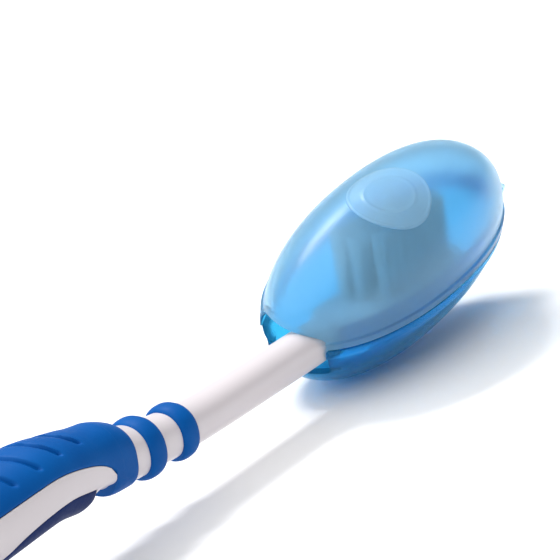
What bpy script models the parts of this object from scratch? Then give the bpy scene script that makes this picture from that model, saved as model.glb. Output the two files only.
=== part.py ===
"""A manual toothbrush whose head lies in a hinged, egg-shaped travel cover.

The brush lies along X with its head towards +X and its bristles up (+Z). All lengths are in metres.
"""

import math

import bmesh
import bpy
from mathutils import Matrix, Vector

MM = 0.001
GAP = 0.25 * MM  # between pieces that touch
TUFT_GAP = 0.12 * MM  # between a tuft and its blind hole

# Brush: stations are measured from the tail end, heights from the neck's axis.
BRUSH_LENGTH = 190 * MM
TAIL_X = -102.1 * MM
AXIS_Y = -0.97 * MM
AXIS_Z = 10.1 * MM  # puts the tail and the cover's belly on z = 0
SECTION_POWER = 2.2  # 2 is an ellipse, more is squarer
SECTION_SIDES = 32

# station, axis height, half width, half height
HANDLE = [
    (0.0, -5.8, 2.2, 1.8),
    (1.2, -5.8, 4.2, 3.5),
    (4.0, -5.8, 5.4, 4.65),
    (14.0, -5.25, 6.0, 5.2),
    (36.0, -1.4, 6.7, 5.6),
    (60.0, 3.6, 7.1, 6.0),
    (76.0, 5.5, 7.0, 6.0),
    (86.0, 5.7, 6.6, 5.8),
    (94.0, 4.8, 5.6, 5.4),
    (100.0, 3.5, 4.7, 5.0),
    (104.5, 2.2, 4.1, 4.1),
    (110.0, 1.2, 3.65, 3.65),
    (118.0, 0.4, 3.35, 3.35),
    (124.0, 0.1, 3.25, 3.25),
    (136.0, 0.0, 3.25, 3.25),
    (147.0, 0.0, 3.25, 3.25),
    (153.0, 0.0, 3.5, 3.0),
]
HANDLE_STEP = 4.0 * MM
FOOT_LENGTH = 20.0 * MM  # the tail's underside is cut flat at z = 0 over this length

HEAD_LENGTH = 31.0 * MM
HEAD_WIDTH = 11.6 * MM
HEAD_THICKNESS = 4.6 * MM
HEAD_RISE = 0.3 * MM
HEAD_POWER = 2.8
HEAD_ROOT = 5.0 * MM  # stretch over which the neck widens into the head

# Soft grip
GRIP_THICKNESS = 1.3 * MM
EDGE_SPREAD = math.radians(3)  # clearance angle at the skins' long edges
GRIP_START = 12.0 * MM
GRIP_END = 101.0 * MM
COLLAR_START = 99.5 * MM
COLLAR_END = 104.0 * MM
COLLAR_PROUD = 0.8 * MM
STRIPE_TIP = 99.0 * MM  # where the bare white stripe on each side ends in a point
STRIPE_TAPER = 14.0 * MM
STRIPE_TOP = math.radians(20)
STRIPE_MIDDLE = math.radians(-11)  # at the tip
# station and angle of the underside strip's upper edge
STRIP_EDGE = [
    (22.0, -34.0),
    (60.0, -34.0),
    (75.7, -30.0),
    (79.3, -21.0),
    (84.0, -16.0),
    (89.0, -14.5),
    (94.5, -20.0),
]
STRIP_START = 22.0 * MM
STRIP_END = 94.5 * MM
BUMP_LENGTH = 7.0 * MM
BUMP_PROUD = 0.4 * MM

RING_STATIONS = {"grip_ring_front": 115.8 * MM, "grip_ring_rear": 108.4 * MM}
RING_WIDTH = 3.3 * MM
RING_PROUD = 0.85 * MM
RING_SEAT = 0.6 * MM
RING_SIDES = 24

# Bristles
TUFT_COLUMNS = [-4.05 * MM, -1.35 * MM, 1.35 * MM, 4.05 * MM]
TUFT_ROWS = 10
TUFT_PITCH = 2.5 * MM
TUFT_RADIUS = 0.85 * MM
TUFT_HEIGHT = 10.3 * MM
FIELD_SHIFT = -0.5 * MM  # of the bristle field's middle along the head
TUFT_DEPTH = 2.4 * MM
TUFT_SIDES = 8

# Travel cover: half axes of its outside, from the middle of its split line
COVER_HALF_LENGTH = 28.0 * MM
COVER_HALF_WIDTH = 12.6 * MM
DOME_HEIGHT = 15.4 * MM
TRAY_DEPTH = 13.75 * MM
COVER_WALL = 1.2 * MM
PLAN_POWER = 2.15
DOME_POWER = 2.3
TRAY_POWER = 2.05
DOME_SLANT = 0.12  # the share by which the dome grows towards the hinge
TRAY_SLANT = -0.22  # the tray shrinks instead
COVER_AROUND = 40
COVER_RINGS = 8
RIM_HEIGHT = 1.5 * MM
RIM_PROUD = 0.35 * MM
LIP_HEIGHT = 3.0 * MM
LIP_WALL = 0.8 * MM
LEVEL_GAP = 0.3 * MM
CROWN_TURN = math.radians(86)
# The cover sits loosely on the neck: its middle, and its turns about X, Y and Z
COVER_STATION = 173.4 * MM
COVER_SHIFT = 1.2 * MM
COVER_RISE = 4.7 * MM
COVER_ROLL = math.radians(20)
COVER_PITCH = math.radians(-6.2)
COVER_YAW = math.radians(-2)

MOUTH_HALF_WIDTH = 6.3 * MM
MOUTH_DEPTH = 5.8 * MM
MOUTH_REACH = 9.0 * MM
ARCH_RISE = 2.6 * MM
ARCH_POWER = 3.2
BADGE_RADIUS = 7.0 * MM
BADGE_X = -2.5 * MM
BADGE_Y = -1.0 * MM
BADGE_PROUD = 0.25 * MM
BADGE_SHARES = (0.3, 0.65, 1.0)

# Cover hinge at the far tip, its axis across the cover
HINGE_RADIUS = 1.15 * MM
HINGE_X = COVER_HALF_LENGTH + RIM_PROUD + HINGE_RADIUS + 0.3 * MM
HINGE_BORE = 0.53 * MM
HINGE_PIN = 0.45 * MM
KNUCKLE_HALF = 1.6 * MM
EAR_WIDTH = 1.5 * MM
HINGE_SIDES = 16


def clear_scene():
    for obj in list(bpy.data.objects):
        bpy.data.objects.remove(obj, do_unlink=True)


def plastic(name, colour, roughness, alpha=1.0):
    material = bpy.data.materials.new(name)
    material.use_nodes = True
    shader = material.node_tree.nodes["Principled BSDF"]
    shader.inputs["Base Color"].default_value = (*colour, 1.0)
    shader.inputs["Roughness"].default_value = roughness
    shader.inputs["Metallic"].default_value = 0.0
    shader.inputs["Alpha"].default_value = alpha
    return material


def white_plastic(name):
    return plastic(name, (0.87, 0.86, 0.86), 0.22)


def soft_blue(name):
    return plastic(name, (0.01, 0.12, 0.42), 0.5)


def nylon(name):
    return plastic(name, (0.72, 0.76, 0.78), 0.4)


def clear_blue(name):
    return plastic(name, (0.25, 0.58, 0.85), 0.15, 0.55)


def new_object(name, mesh_maker, material):
    """A closed mesh object; mesh_maker fills the bmesh it is given."""
    mesh = bpy.data.meshes.new(name)
    bm = bmesh.new()
    mesh_maker(bm)
    bmesh.ops.recalc_face_normals(bm, faces=bm.faces)
    bm.to_mesh(mesh)
    bm.free()
    mesh.shade_smooth()
    mesh.set_sharp_from_angle(angle=math.radians(40))
    obj = bpy.data.objects.new(name, mesh)
    bpy.context.scene.collection.objects.link(obj)
    if material:
        mesh.materials.append(material)
    return obj


def as_cutter(obj):
    obj.hide_render = True
    obj.display_type = "WIRE"
    return obj


def boolean(obj, other, operation):
    modifier = obj.modifiers.new(f"{operation}_{other.name}", "BOOLEAN")
    modifier.operation = operation
    modifier.solver = "EXACT"
    modifier.object = other


def signed_power(value, power):
    return math.copysign(abs(value) ** power, value)


def loft(bm, rings):
    """Closed body through rings of equal length, with a flat face at each end."""
    verts = [[bm.verts.new(point) for point in ring] for ring in rings]
    for ring, following in zip(verts, verts[1:]):
        for i in range(len(ring)):
            j = (i + 1) % len(ring)
            bm.faces.new((ring[i], ring[j], following[j], following[i]))
    bm.faces.new(verts[0])
    bm.faces.new(verts[-1])


def smooth_value(table, at, column):
    """Monotone cubic through the table's rows, so that the outline has no ripples."""
    stations = [row[0] * MM for row in table]
    values = [row[column] * MM for row in table]
    at = min(max(at, stations[0]), stations[-1])
    i = max(k for k in range(len(stations) - 1) if stations[k] <= at)
    slopes = [(values[k + 1] - values[k]) / (stations[k + 1] - stations[k]) for k in range(len(stations) - 1)]

    def tangent(k):
        if k in (0, len(stations) - 1):
            return slopes[min(k, len(slopes) - 1)]
        before, after = slopes[k - 1], slopes[k]
        return 0.0 if before * after <= 0 else 2 * before * after / (before + after)

    span = stations[i + 1] - stations[i]
    t = (at - stations[i]) / span
    return (
        (2 * t**3 - 3 * t**2 + 1) * values[i]
        + (t**3 - 2 * t**2 + t) * span * tangent(i)
        + (3 * t**2 - 2 * t**3) * values[i + 1]
        + (t**3 - t**2) * span * tangent(i + 1)
    )


def handle_point(station, angle, offset=0.0):
    """Point on the handle's outside; angle 0 is -Y and a quarter turn is the bristle side."""
    half_width = smooth_value(HANDLE, station, 2) + offset
    half_height = smooth_value(HANDLE, station, 3) + offset
    centre = smooth_value(HANDLE, station, 1)
    share = 2 / SECTION_POWER
    y = -half_width * signed_power(math.cos(angle), share)
    z = half_height * signed_power(math.sin(angle), share)
    return Vector((TAIL_X + station, AXIS_Y + y, AXIS_Z + centre + z))


def spaced(low, high, step):
    count = max(1, round((high - low) / step))
    return [low + (high - low) * i / count for i in range(count + 1)]


def handle_stations():
    ends = [row[0] * MM for row in HANDLE]
    tail = ends[:3]
    return tail[:-1] + spaced(tail[-1], ends[-1], HANDLE_STEP)


def head_section(along):
    """Half width and half height of the head, along is 0 at its root and 1 at its tip."""
    root_width = HANDLE[-1][2] * MM
    root_height = HANDLE[-1][3] * MM
    widen = min(1.0, along * (HEAD_LENGTH + HEAD_ROOT) / HEAD_ROOT)
    ease = widen * widen * (3 - 2 * widen)
    full = root_width + (HEAD_WIDTH / 2 - root_width) * ease
    height = root_height + (HEAD_THICKNESS / 2 - root_height) * ease
    reach = max(0.0, (along - 0.5) / 0.5)
    taper = max(0.0, 1 - reach**HEAD_POWER) ** (1 / HEAD_POWER)
    return full * taper, height * (0.45 + 0.55 * taper), HEAD_RISE * ease


def build_handle_core(bm):
    angles = [2 * math.pi * i / SECTION_SIDES for i in range(SECTION_SIDES)]
    rings = [[handle_point(station, angle) for angle in angles] for station in handle_stations()]
    start = HANDLE[-1][0] * MM
    steps = [0.06, 0.11, 0.17, 0.3, 0.45, 0.6, 0.7, 0.79, 0.87, 0.93, 0.97, 0.992]
    for along in steps:
        half_width, half_height, rise = head_section(along)
        station = start + along * (BRUSH_LENGTH - start)
        power = 2 / (SECTION_POWER + 1.6 * min(1.0, along * 5))
        rings.append(
            [
                Vector(
                    (
                        TAIL_X + station,
                        AXIS_Y - half_width * signed_power(math.cos(angle), power),
                        AXIS_Z + rise + half_height * signed_power(math.sin(angle), power),
                    )
                )
                for angle in angles
            ]
        )
    loft(bm, rings)


def build_foot_cut(bm):
    """Cutter below z = 0 that leaves a flat foot under the tail."""
    low = Vector((TAIL_X - MM, -2 * HEAD_WIDTH, -HEAD_WIDTH))
    high = Vector((TAIL_X + FOOT_LENGTH, 2 * HEAD_WIDTH, 0.0))
    block(bm, low, high)


def stripe_top(station):
    """Angle of the white side stripe's upper edge, which falls to the stripe's front tip."""
    behind = STRIPE_TIP - station
    open_share = 0.0 if behind <= 0 else min(1.0, behind / STRIPE_TAPER)
    rounding = math.sqrt(1 - (1 - open_share) ** 2)
    return STRIPE_MIDDLE + (STRIPE_TOP - STRIPE_MIDDLE) * rounding


def bump(station):
    """How far the underside strip stands out near its front end."""
    behind = (STRIP_END - station) / BUMP_LENGTH
    if behind >= 1 or behind < 0:
        return 0.0
    return BUMP_PROUD * math.sin(math.pi * (1 - behind) ** 2)


def skin(bm, stations, edges, inner, outer, columns):
    """Solid between two offsets of the handle's outside, over a band of angles that edges gives."""
    rings = []
    for station in stations:
        low, high = edges(station)
        angles = [low + (high - low) * i / columns for i in range(columns + 1)]
        above = [handle_point(station, angle, outer(station, angle)) for angle in angles]
        below = [handle_point(station, angle, inner) for angle in reversed(angles)]
        rings.append(above + below)
    loft(bm, rings)


def top_edges(margin):
    def edges(station):
        low = stripe_top(station) - margin
        return low, math.pi - low

    return edges


def strip_edges(margin):
    def edges(station):
        high = math.radians(smooth_value(STRIP_EDGE, station, 1) / MM) + margin
        return -math.pi - high, high

    return edges


def grip_top_skin(bm, spread, inner, raise_by):
    ends = 0.0 if spread == 0 else GAP
    stations = spaced(GRIP_START - ends, GRIP_END, HANDLE_STEP)
    skin(bm, stations, top_edges(spread), inner, lambda station, angle: raise_by, 14)


def strip_skin(bm, spread, inner, raise_by):
    ends = 0.0 if spread == 0 else GAP
    stations = spaced(STRIP_START - ends, STRIP_END + ends, HANDLE_STEP)
    bulge = 0.0 if spread else 1.0

    def outer(station, angle):
        return raise_by + bulge * bump(station) * max(0.0, -math.sin(angle))

    skin(bm, stations, strip_edges(spread), inner, outer, 8)


def tube(bm, profile, station_of_axis):
    """Ring of the handle's section turned round its axis, from (station, offset) corners."""
    angles = [2 * math.pi * i / RING_SIDES for i in range(RING_SIDES)]
    rows = []
    for station, offset in profile:
        base = station_of_axis
        shift = Vector((station - base, 0.0, 0.0))
        row = [bm.verts.new(handle_point(base, angle, offset) + shift) for angle in angles]
        rows.append(row)
    for row, following in zip(rows, rows[1:] + rows[:1]):
        for i in range(RING_SIDES):
            j = (i + 1) % RING_SIDES
            bm.faces.new((row[i], row[j], following[j], following[i]))


def bead_profile(middle, width, proud, seat):
    """Closed outline of a bead: a rounded crown over a flat seat."""
    crown = [math.radians(angle) for angle in (0, 30, 60, 90, 120, 150, 180)]
    base = 0.1 * MM
    top = [(middle + width / 2 * math.cos(turn), base + (proud - base) * math.sin(turn)) for turn in crown]
    return [(middle + width / 2, -seat)] + top + [(middle - width / 2, -seat)]


def collar_profile(spread):
    start = COLLAR_START - spread
    end = COLLAR_END + spread
    reach = COLLAR_PROUD if spread == 0 else 2 * COLLAR_PROUD
    return [
        (end, -GRIP_THICKNESS - spread),
        (end, reach * 0.1),
        (end - 0.3 * MM, reach * 0.6),
        (end - 1.0 * MM, reach),
        (start, reach),
        (start, -GRIP_THICKNESS - spread),
    ]


def tuft_places():
    root = HANDLE[-1][0] * MM + HEAD_ROOT
    middle = (root + BRUSH_LENGTH) / 2 + FIELD_SHIFT
    for row in range(TUFT_ROWS):
        station = middle + (row - (TUFT_ROWS - 1) / 2) * TUFT_PITCH
        columns = TUFT_COLUMNS[1:-1] if row in (0, TUFT_ROWS - 1) else TUFT_COLUMNS
        for column, y in enumerate(columns):
            yield row, column, Vector((TAIL_X + station, AXIS_Y + y, AXIS_Z + HEAD_RISE + HEAD_THICKNESS / 2))


def rod(bm, radius, low, high, sides, place=Vector()):
    angles = [2 * math.pi * i / sides for i in range(sides)]
    ring = [Vector((radius * math.cos(angle), radius * math.sin(angle), 0.0)) for angle in angles]
    loft(bm, [[point + place + Vector((0, 0, z)) for point in ring] for z in (low, high)])


def cross_rod(bm, radius, half_width, x, z, sides, y=0.0):
    """Cylinder along Y."""
    angles = [2 * math.pi * i / sides for i in range(sides)]
    ring = [Vector((x + radius * math.cos(angle), 0.0, z + radius * math.sin(angle))) for angle in angles]
    loft(bm, [[point + Vector((0, y + side, 0)) for point in ring] for side in (-half_width, half_width)])


def block(bm, low, high):
    corners = [(low.x, low.y), (high.x, low.y), (high.x, high.y), (low.x, high.y)]
    loft(bm, [[Vector((x, y, z)) for x, y in corners] for z in (low.z, high.z)])


def outline_at(z, inset=0.0):
    """Level outline of the cover at height z from its split line, its surface moved in by inset."""
    height, power = (DOME_HEIGHT, DOME_POWER) if z >= 0 else (TRAY_DEPTH, TRAY_POWER)
    reach = max(0.0, 1 - (abs(z) / (height - inset)) ** power) ** (1 / power)
    share = 2 / PLAN_POWER
    ring = []
    for i in range(COVER_AROUND):
        angle = 2 * math.pi * i / COVER_AROUND
        x = (COVER_HALF_LENGTH - inset) * reach * signed_power(math.cos(angle), share)
        y = (COVER_HALF_WIDTH - inset) * reach * signed_power(math.sin(angle), share)
        ring.append(Vector((x, y, slanted(z, x))))
    return ring


def slanted(z, x):
    slant = DOME_SLANT if z >= 0 else TRAY_SLANT
    return z * (1 + slant * x / COVER_HALF_LENGTH)


def levels(height, power, start):
    """Heights of the shell's outlines, closer together towards the crown, up to just short of it."""
    turns = [CROWN_TURN * (i + 1) / COVER_RINGS for i in range(COVER_RINGS)]
    heights = [height * math.sin(turn) ** (2 / power) for turn in turns]
    return [z for z in heights if z > start]


def build_dome_shell(bm):
    above = RIM_HEIGHT + LEVEL_GAP
    inside = [outline_at(z, COVER_WALL) for z in levels(DOME_HEIGHT - COVER_WALL, DOME_POWER, above)]
    rim = [
        outline_at(GAP / 2, COVER_WALL),
        outline_at(GAP / 2, -RIM_PROUD),
        outline_at(RIM_HEIGHT, -RIM_PROUD),
    ]
    outside = [outline_at(z) for z in levels(DOME_HEIGHT, DOME_POWER, above)]
    loft(bm, inside[::-1] + rim + outside)


def build_tray_shell(bm):
    """Lower half; its inner lip stands up inside the dome's rim."""
    outside = [outline_at(-z) for z in levels(TRAY_DEPTH, TRAY_POWER, RIM_HEIGHT + LEVEL_GAP)]
    lip = COVER_WALL + GAP
    rim = [
        outline_at(-RIM_HEIGHT, -RIM_PROUD),
        outline_at(-GAP / 2, -RIM_PROUD),
        outline_at(-GAP / 2, lip),
        outline_at(LIP_HEIGHT, lip),
        outline_at(LIP_HEIGHT, lip + LIP_WALL),
        outline_at(-RIM_HEIGHT, lip + LIP_WALL),
    ]
    inside = [outline_at(-z, COVER_WALL) for z in levels(TRAY_DEPTH - COVER_WALL, TRAY_POWER, 2 * RIM_HEIGHT)]
    loft(bm, outside[::-1] + rim + inside)


def dome_height_at(x, y):
    plan = (abs(x) / COVER_HALF_LENGTH) ** PLAN_POWER + (abs(y) / COVER_HALF_WIDTH) ** PLAN_POWER
    return slanted(DOME_HEIGHT * (1 - plan ** (DOME_POWER / PLAN_POWER)) ** (1 / DOME_POWER), x)


def build_badge(bm):
    """Low round boss that follows the dome's crown."""
    tops = []
    for share in BADGE_SHARES:
        ring = []
        for i in range(HINGE_SIDES):
            angle = 2 * math.pi * i / HINGE_SIDES
            x = BADGE_X + BADGE_RADIUS * share * math.cos(angle)
            y = BADGE_Y + BADGE_RADIUS * share * math.sin(angle)
            ring.append(Vector((x, y, dome_height_at(x, y) + BADGE_PROUD)))
        tops.append(ring)
    sink = Vector((0.0, 0.0, BADGE_PROUD + COVER_WALL / 2))
    under = [[point - sink for point in ring] for ring in tops]
    loft(bm, tops + under[::-1])


def build_arch(bm):
    """Cutter for the low arch in the dome over the neck."""
    outline = []
    for i in range(COVER_AROUND):
        angle = 2 * math.pi * i / COVER_AROUND
        y = MOUTH_HALF_WIDTH * signed_power(math.cos(angle), 2 / ARCH_POWER)
        z = ARCH_RISE * signed_power(math.sin(angle), 2 / ARCH_POWER)
        outline.append(Vector((0.0, y, z)))
    ends = (-COVER_HALF_LENGTH - COVER_WALL, -COVER_HALF_LENGTH + MOUTH_REACH)
    loft(bm, [[point + Vector((x, 0.0, 0.0)) for point in outline] for x in ends])


def build_notch(bm):
    """Cutter for the neck's slot in the tray's end wall and lip."""
    low = Vector((-COVER_HALF_LENGTH - COVER_WALL, -MOUTH_HALF_WIDTH, -MOUTH_DEPTH))
    high = Vector((-COVER_HALF_LENGTH + MOUTH_REACH, MOUTH_HALF_WIDTH, 2 * LIP_HEIGHT))
    block(bm, low, high)


def hinge_web(bm, side, y_low, y_high):
    """Web from a half's rim out to the hinge barrel; side is 1 for the dome and -1 for the tray."""
    near = COVER_HALF_LENGTH - COVER_WALL / 2
    heights = sorted((side * GAP, side * HINGE_RADIUS * 0.9))
    block(bm, Vector((near, y_low, heights[0])), Vector((HINGE_X, y_high, heights[1])))


def build_knuckle_web(bm):
    hinge_web(bm, -1, -KNUCKLE_HALF, KNUCKLE_HALF)


def build_knuckle(bm):
    cross_rod(bm, HINGE_RADIUS, KNUCKLE_HALF, HINGE_X, 0.0, HINGE_SIDES)


def build_pin(bm):
    cross_rod(bm, HINGE_PIN, KNUCKLE_HALF + GAP + EAR_WIDTH, HINGE_X, 0.0, HINGE_SIDES)


def build_bore(bm):
    cross_rod(bm, HINGE_BORE, KNUCKLE_HALF + 2 * EAR_WIDTH, HINGE_X, 0.0, HINGE_SIDES)


def ear_builders(side):
    """The dome's ear at one end of the knuckle: its web and its barrel."""
    middle = side * (KNUCKLE_HALF + GAP + EAR_WIDTH / 2)

    def web(bm):
        hinge_web(bm, 1, middle - EAR_WIDTH / 2, middle + EAR_WIDTH / 2)

    def barrel(bm):
        cross_rod(bm, HINGE_RADIUS, EAR_WIDTH / 2, HINGE_X, 0.0, HINGE_SIDES, middle)

    return web, barrel


def helper(name, maker, parent):
    obj = as_cutter(new_object(name, maker, None))
    obj.parent = parent
    return obj


def make_brush():
    core = new_object("handle_core", build_handle_core, white_plastic("white_plastic"))
    blue = soft_blue("soft_blue")
    seat = -GRIP_THICKNESS
    cuts = {
        "cut_grip_top": lambda bm: grip_top_skin(bm, EDGE_SPREAD, seat - GAP, MM),
        "cut_grip_underside": lambda bm: strip_skin(bm, EDGE_SPREAD, seat - GAP, MM),
        "cut_collar": lambda bm: tube(bm, collar_profile(GAP), COLLAR_END),
    }
    for name, station in RING_STATIONS.items():
        profile = [
            (station + side * (RING_WIDTH / 2 + GAP), offset)
            for side, offset in ((1, -RING_SEAT - GAP), (1, MM), (-1, MM), (-1, -RING_SEAT - GAP))
        ]
        cuts[f"cut_{name}"] = lambda bm, p=profile, at=station: tube(bm, p, at)
    for name, maker in cuts.items():
        boolean(core, helper(name, maker, None), "DIFFERENCE")
    boolean(core, helper("cut_foot", build_foot_cut, None), "DIFFERENCE")

    top = new_object("grip_top", lambda bm: grip_top_skin(bm, 0.0, seat, 0.0), blue)
    collar = helper("collar", lambda bm: tube(bm, collar_profile(0.0), COLLAR_END), None)
    boolean(top, collar, "UNION")
    new_object("grip_underside", lambda bm: strip_skin(bm, 0.0, seat, 0.0), blue)
    for name, station in RING_STATIONS.items():
        profile = bead_profile(station, RING_WIDTH, RING_PROUD, RING_SEAT)
        new_object(name, lambda bm, p=profile, at=station: tube(bm, p, at), blue)
    make_tufts(core)


def make_tufts(core):
    material = nylon("nylon")
    places = list(tuft_places())

    def all_holes(bm):
        for _, _, place in places:
            rod(bm, TUFT_RADIUS + TUFT_GAP, -TUFT_DEPTH - TUFT_GAP, MM, TUFT_SIDES, place)

    boolean(core, helper("tuft_holes", all_holes, None), "DIFFERENCE")
    for row, column, place in places:

        def tuft(bm, place=place):
            rod(bm, TUFT_RADIUS, -TUFT_DEPTH, TUFT_HEIGHT, TUFT_SIDES)

        obj = new_object(f"tuft_{row + 1:02d}_{column + 1}", tuft, material)
        obj.location = place


def make_cover():
    frame = bpy.data.objects.new("cover_frame", None)
    bpy.context.scene.collection.objects.link(frame)
    frame.location = (TAIL_X + COVER_STATION, AXIS_Y + COVER_SHIFT, AXIS_Z + COVER_RISE)
    frame.rotation_euler = (COVER_ROLL, COVER_PITCH, COVER_YAW)
    clear = clear_blue("clear_blue")

    tray = new_object("cover_tray", build_tray_shell, clear)
    tray.parent = frame
    for name, maker in (("knuckle_web", build_knuckle_web), ("knuckle", build_knuckle), ("pin", build_pin)):
        boolean(tray, helper(name, maker, frame), "UNION")
    boolean(tray, helper("notch", build_notch, frame), "DIFFERENCE")

    dome = new_object("cover_dome", build_dome_shell, clear)
    hinge_place = Vector((HINGE_X, 0.0, 0.0))
    dome.data.transform(Matrix.Translation(-hinge_place))
    dome.location = hinge_place
    dome.parent = frame
    boolean(dome, helper("badge", build_badge, frame), "UNION")
    for side, end in ((-1, "near"), (1, "far")):
        web, barrel = ear_builders(side)
        boolean(dome, helper(f"ear_web_{end}", web, frame), "UNION")
        boolean(dome, helper(f"ear_{end}", barrel, frame), "UNION")
    boolean(dome, helper("ear_bore", build_bore, frame), "DIFFERENCE")
    boolean(dome, helper("arch", build_arch, frame), "DIFFERENCE")


clear_scene()
make_brush()
make_cover()
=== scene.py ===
"""Looks for a toothbrush whose head lies in a see-through, hinged travel cover.

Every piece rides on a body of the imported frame. Lengths are in metres, in the frame's own axes:
+X towards the brush's head, +Z up.
"""

import math
import random
from functools import partial

import bmesh
import bpy
from mathutils import Euler, Matrix, Vector

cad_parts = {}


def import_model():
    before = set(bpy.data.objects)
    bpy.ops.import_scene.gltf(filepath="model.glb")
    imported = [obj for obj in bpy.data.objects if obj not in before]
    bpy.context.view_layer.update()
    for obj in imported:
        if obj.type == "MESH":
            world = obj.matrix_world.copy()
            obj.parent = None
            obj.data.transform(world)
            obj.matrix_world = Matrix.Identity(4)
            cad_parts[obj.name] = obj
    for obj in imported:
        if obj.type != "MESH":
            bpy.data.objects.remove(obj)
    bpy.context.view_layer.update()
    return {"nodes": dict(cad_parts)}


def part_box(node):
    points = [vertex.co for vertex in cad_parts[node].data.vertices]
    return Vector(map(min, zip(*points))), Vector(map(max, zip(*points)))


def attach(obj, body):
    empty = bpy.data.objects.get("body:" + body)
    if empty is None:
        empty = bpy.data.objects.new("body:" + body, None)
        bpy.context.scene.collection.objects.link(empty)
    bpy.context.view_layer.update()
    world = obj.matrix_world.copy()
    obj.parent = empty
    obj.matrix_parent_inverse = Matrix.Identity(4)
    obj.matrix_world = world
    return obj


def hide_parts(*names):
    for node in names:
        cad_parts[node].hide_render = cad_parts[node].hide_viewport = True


MM = 0.001

# Brush, as in the CAD model: stations from the tail, heights from the neck's axis.
# The head's root alone widens over a slightly longer stretch, which keeps it clear of the sliding tray.
BRUSH_LENGTH = 189.7 * MM
TAIL_X = -102.1 * MM
AXIS_Y = -0.97 * MM
AXIS_Z = 10.1 * MM
SECTION_POWER = 2.2
# station, axis height, half width, half height
HANDLE = [
    (0.0, -5.8, 2.2, 1.8),
    (1.2, -5.8, 4.2, 3.5),
    (4.0, -5.8, 5.4, 4.65),
    (14.0, -5.25, 6.0, 5.2),
    (36.0, -1.4, 6.7, 5.6),
    (60.0, 3.6, 7.1, 6.0),
    (76.0, 5.5, 7.0, 6.0),
    (86.0, 5.7, 6.6, 5.8),
    (94.0, 4.8, 5.6, 5.4),
    (100.0, 3.5, 4.7, 5.0),
    (104.5, 2.2, 4.1, 4.1),
    (110.0, 1.2, 3.65, 3.65),
    (118.0, 0.4, 3.35, 3.35),
    (124.0, 0.1, 3.25, 3.25),
    (136.0, 0.0, 3.25, 3.25),
    (147.0, 0.0, 3.25, 3.25),
    (153.0, 0.0, 3.5, 3.0),
]
HEAD_WIDTH = 11.6 * MM
HEAD_THICKNESS = 4.6 * MM
HEAD_RISE = 0.3 * MM
HEAD_POWER = 2.8
HEAD_ROOT = 5.5 * MM
HEAD_EDGE = 0.45  # share of its thickness that the head keeps at its tip
HEAD_SQUARENESS = 1.6  # how much squarer the head's section is than the neck's
HEAD_SQUARE_BY = 0.2  # share of the head's length over which that happens

# Rows and columns of the core's mesh, closer together where the tail and the head round off
TAIL_ROWS = [station * MM for station in (0.0, 0.35, 0.8, 1.3, 2.0, 3.0)]
ROW_STEP = 1.0 * MM
RECESS_STEP = 0.01 * MM  # from a recess's end to the rows on both sides of it
HEAD_ROWS = 60
HEAD_TIP_ROWS = (0.962, 0.975, 0.985, 0.993, 0.998)  # shares of the head's length
NEAR_SIDE, TOP, FAR_SIDE, BOTTOM = range(4)  # regions of the core's section
SIDE_COLUMNS = 8
TOP_COLUMNS = 28
BOTTOM_COLUMNS = 24

# Soft grip
GRIP_START = 12.0 * MM
GRIP_END = 101.0 * MM
STRIP_START = 22.0 * MM
STRIP_END = 94.5 * MM
# station and angle of the underside strip's upper edge
STRIP_EDGE = [
    (22.0, -34.0),
    (60.0, -34.0),
    (75.7, -30.0),
    (79.3, -21.0),
    (84.0, -16.0),
    (89.0, -14.5),
    (94.5, -20.0),
]
STRIPE_TIP = 99.0 * MM
STRIPE_TAPER = 14.0 * MM
STRIPE_TOP = math.radians(20)
STRIPE_MIDDLE = math.radians(-11)
STRIPE_LEAST = math.radians(2)  # of the core's side left between the skins
SKIN_DEPTH = 0.5 * MM  # how far a skin's inner face lies under the handle's surface
DEEP_SEAT = 1.7 * MM  # seat of the strip and the collar
SKIN_PROUD = 0.04 * MM
SKIN_MARGIN = math.radians(0.6)  # of bare recess beside a skin's edge
SKIN_CLEARANCE = 0.04 * MM  # between the grip's inner face and its recess
SKIN_COLUMNS = 64
STRIP_COLUMNS = 40
INNER_COLUMNS = 12
GRIP_STEP = 0.14 * MM
STRIP_STEP = 0.5 * MM
EDGE_ROUND = 0.45 * MM
EDGE_DROP = 0.6  # depth of the rounding as a share of its width
EDGE_ROWS = [distance * MM for distance in (0.03, 0.1, 0.2, 0.32, 0.45)]
EDGE_ROWS_END = 0.7 * MM
BUMP_LENGTH = 7.0 * MM
BUMP_PROUD = 0.4 * MM
WAIST_MIDDLE = 97.2 * MM  # the core's underside recedes between strip and collar
WAIST_HALF = 3.6 * MM
WAIST_DEPTH = 1.3 * MM
WAIST_SIDES = (0.3, 0.8)  # sines of the angles below the side between which it deepens
WAIST_LEVEL = 0.25  # share of its half length that has the full depth
COLLAR_FRONT = 104.0 * MM
COLLAR_REAR = 99.0 * MM
COLLAR_PROUD = 0.8 * MM
COLLAR_FLUSH = 0.25 * MM  # how far the collar's underside and sides stand out
COLLAR_RISE = 6.5 * MM  # stretch over which the grip swells into the collar
COLLAR_LAND = 0.8 * MM  # full-height stretch before the collar's front
COLLAR_SIDES = (-0.1, 0.9)  # sines of the angles between which it rises to its full height
COLLAR_AROUND = 96
COLLAR_SHARES = (0.0, 0.03, 0.08, 0.15, 0.25, 0.4, 0.55, 0.7, 0.8, 0.88, 0.94, 0.98, 1.0)
COLLAR_UNDER = 0.02 * MM  # how far the collar lies under the grip where both cover the core
COLLAR_FRONT_DROP = 1.6  # how much deeper the front edge is rounded than a skin's edge
COLLAR_FRONT_SPREAD = 0.6  # and how much more gently
COLLAR_LIP = 0.3  # share of the collar's length over which its free rear edge rises
COLLAR_FREE = (math.radians(-24), math.radians(-8))  # angles between which that edge runs out
GROOVE_FIRST = 93.2 * MM  # where the first groove crosses the top
GROOVE_PITCH = 4.8 * MM
GROOVES = 15
GROOVE_DEPTH = 0.7 * MM
GROOVE_FRONT = 0.22 * MM  # a groove's wall is steep on the head side
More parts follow.
